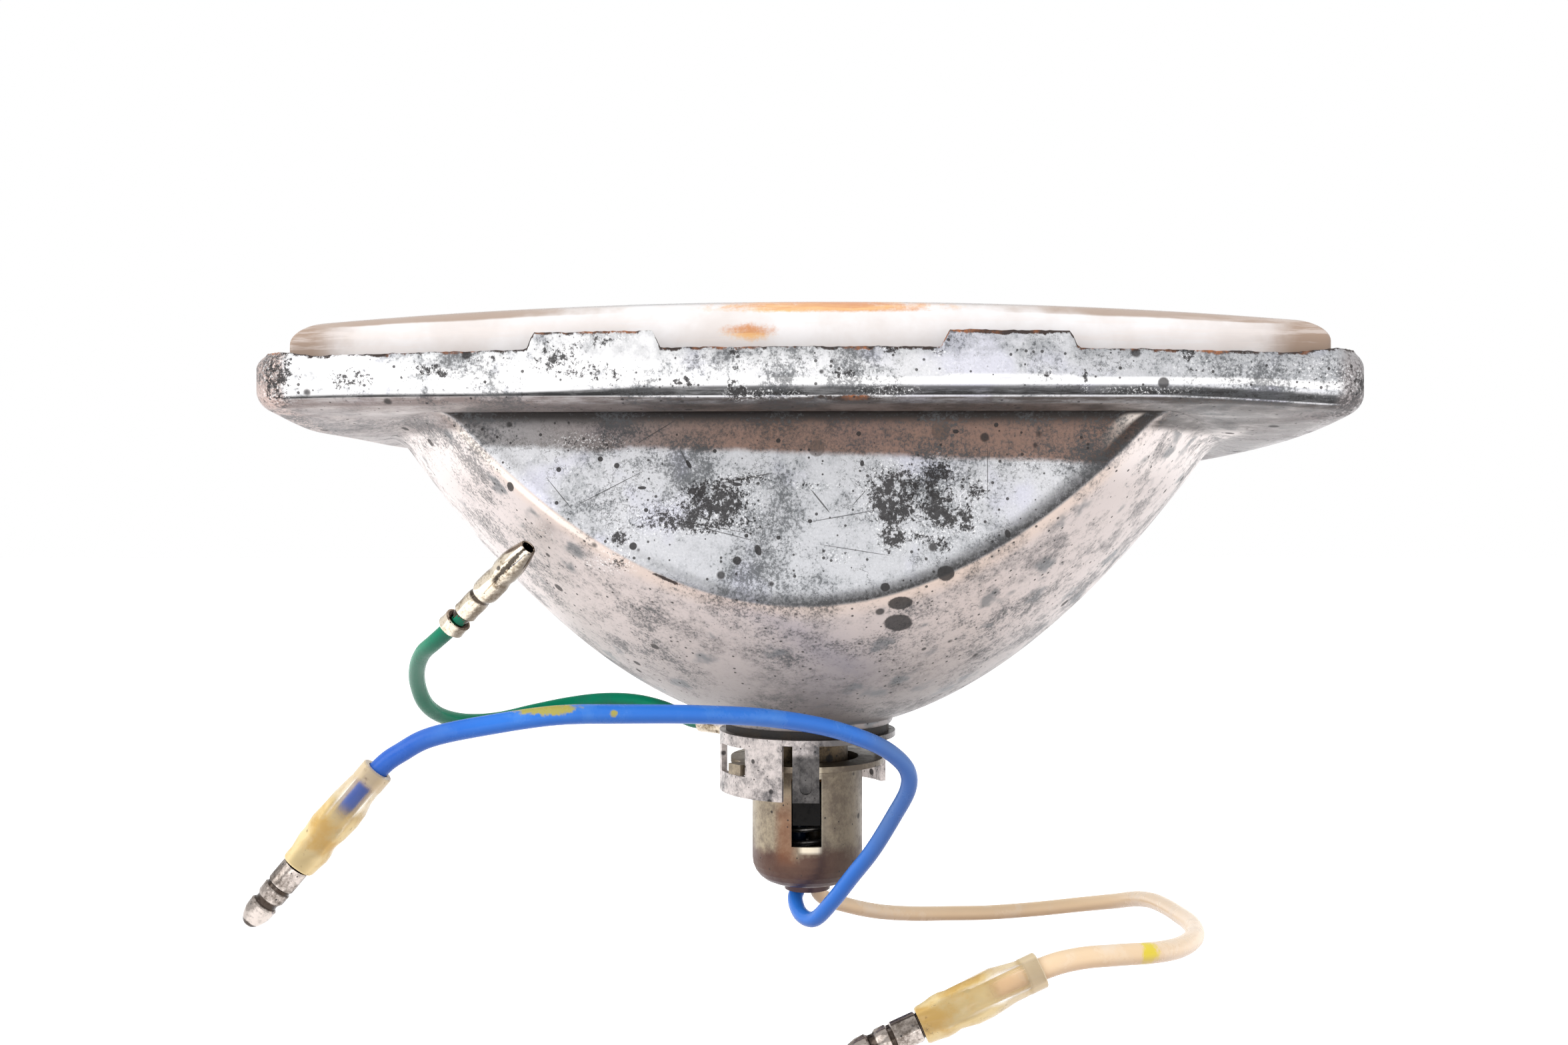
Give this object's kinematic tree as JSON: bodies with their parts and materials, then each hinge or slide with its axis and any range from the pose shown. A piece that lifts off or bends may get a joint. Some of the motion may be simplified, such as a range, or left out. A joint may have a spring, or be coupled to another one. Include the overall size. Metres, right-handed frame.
{
  "type": "quad bike headlight",
  "caption": "Rectangular sealed quad bike headlight: glass lens on a pressed metal reflector, twin-filament bulb in a bayonet socket, wire pigtails with bullet terminals.",
  "frame": {"origin": "centre of the rim's back face, on the optical axis", "axes": "+Z along the beam, out through the lens; +X along the rim's long side"},
  "size_m": [0.164, 0.1547, 0.1139],
  "materials": {
    "lens_glass": "clear pressed",
    "sealant": "matte",
    "reflector_metal": "weathered bright",
    "gasket": "matte",
    "bracket_steel": "plated",
    "rivet_steel": "satin",
    "base_brass": "satin",
    "bulb_glass": "clear blown",
    "insulation": "matte",
    "solder": "satin",
    "support_wire": "satin",
    "tungsten": "matte",
    "shell_brass": "nickel plated, worn",
    "carrier_resin": "matte",
    "contact_bronze": "satin",
    "spring_steel": "satin",
    "blue_vinyl": "satin",
    "white_vinyl": "satin",
    "green_vinyl": "satin",
    "sleeve_vinyl": "yellowed clear",
    "terminal_tin": "tinned, worn"
  },
  "bodies": {
    "housing": {"lens": "lens_glass", "lens_sealant": "sealant", "rim": "reflector_metal", "reflector": "reflector_metal", "bulb_seat_gasket": "gasket", "bulb_bracket": "bracket_steel", "bracket_rivets": "rivet_steel", "bulb_flange": "base_brass", "bulb_base": "base_brass", "bulb_glass": "bulb_glass", "bulb_insulator": "insulation", "bulb_contacts": "solder", "filament_supports": "support_wire", "hi_filament": "tungsten", "lo_filament": "tungsten", "lo_shield": "support_wire", "earth_lug": "terminal_tin", "earth_rivet": "rivet_steel", "green_wire": "green_vinyl", "green_terminal": "terminal_tin"},
    "socket": {"socket_shell": "shell_brass", "contact_spring": "spring_steel", "blue_wire": "blue_vinyl", "blue_sleeve": "sleeve_vinyl", "blue_bullet": "terminal_tin", "white_wire": "white_vinyl", "white_sleeve": "sleeve_vinyl", "white_bullet": "terminal_tin"},
    "contact_block": {"contact_carrier": "carrier_resin", "hi_contact": "contact_bronze", "lo_contact": "contact_bronze"}
  },
  "joints": [
    {"name": "socket_turn", "type": "hinge", "parent": "housing", "child": "socket", "pos_m": [0, 0, -0.06], "axis": [0, 0, 1], "range_deg": [-15, 0]},
    {"name": "contact_press", "type": "slide", "parent": "socket", "child": "contact_block", "axis": [0, 0, -1], "range_m": [0, 0.002], "stiffness_N_per_m": 800, "springref_m": -0.005, "deforming": ["contact_spring"]}
  ]
}
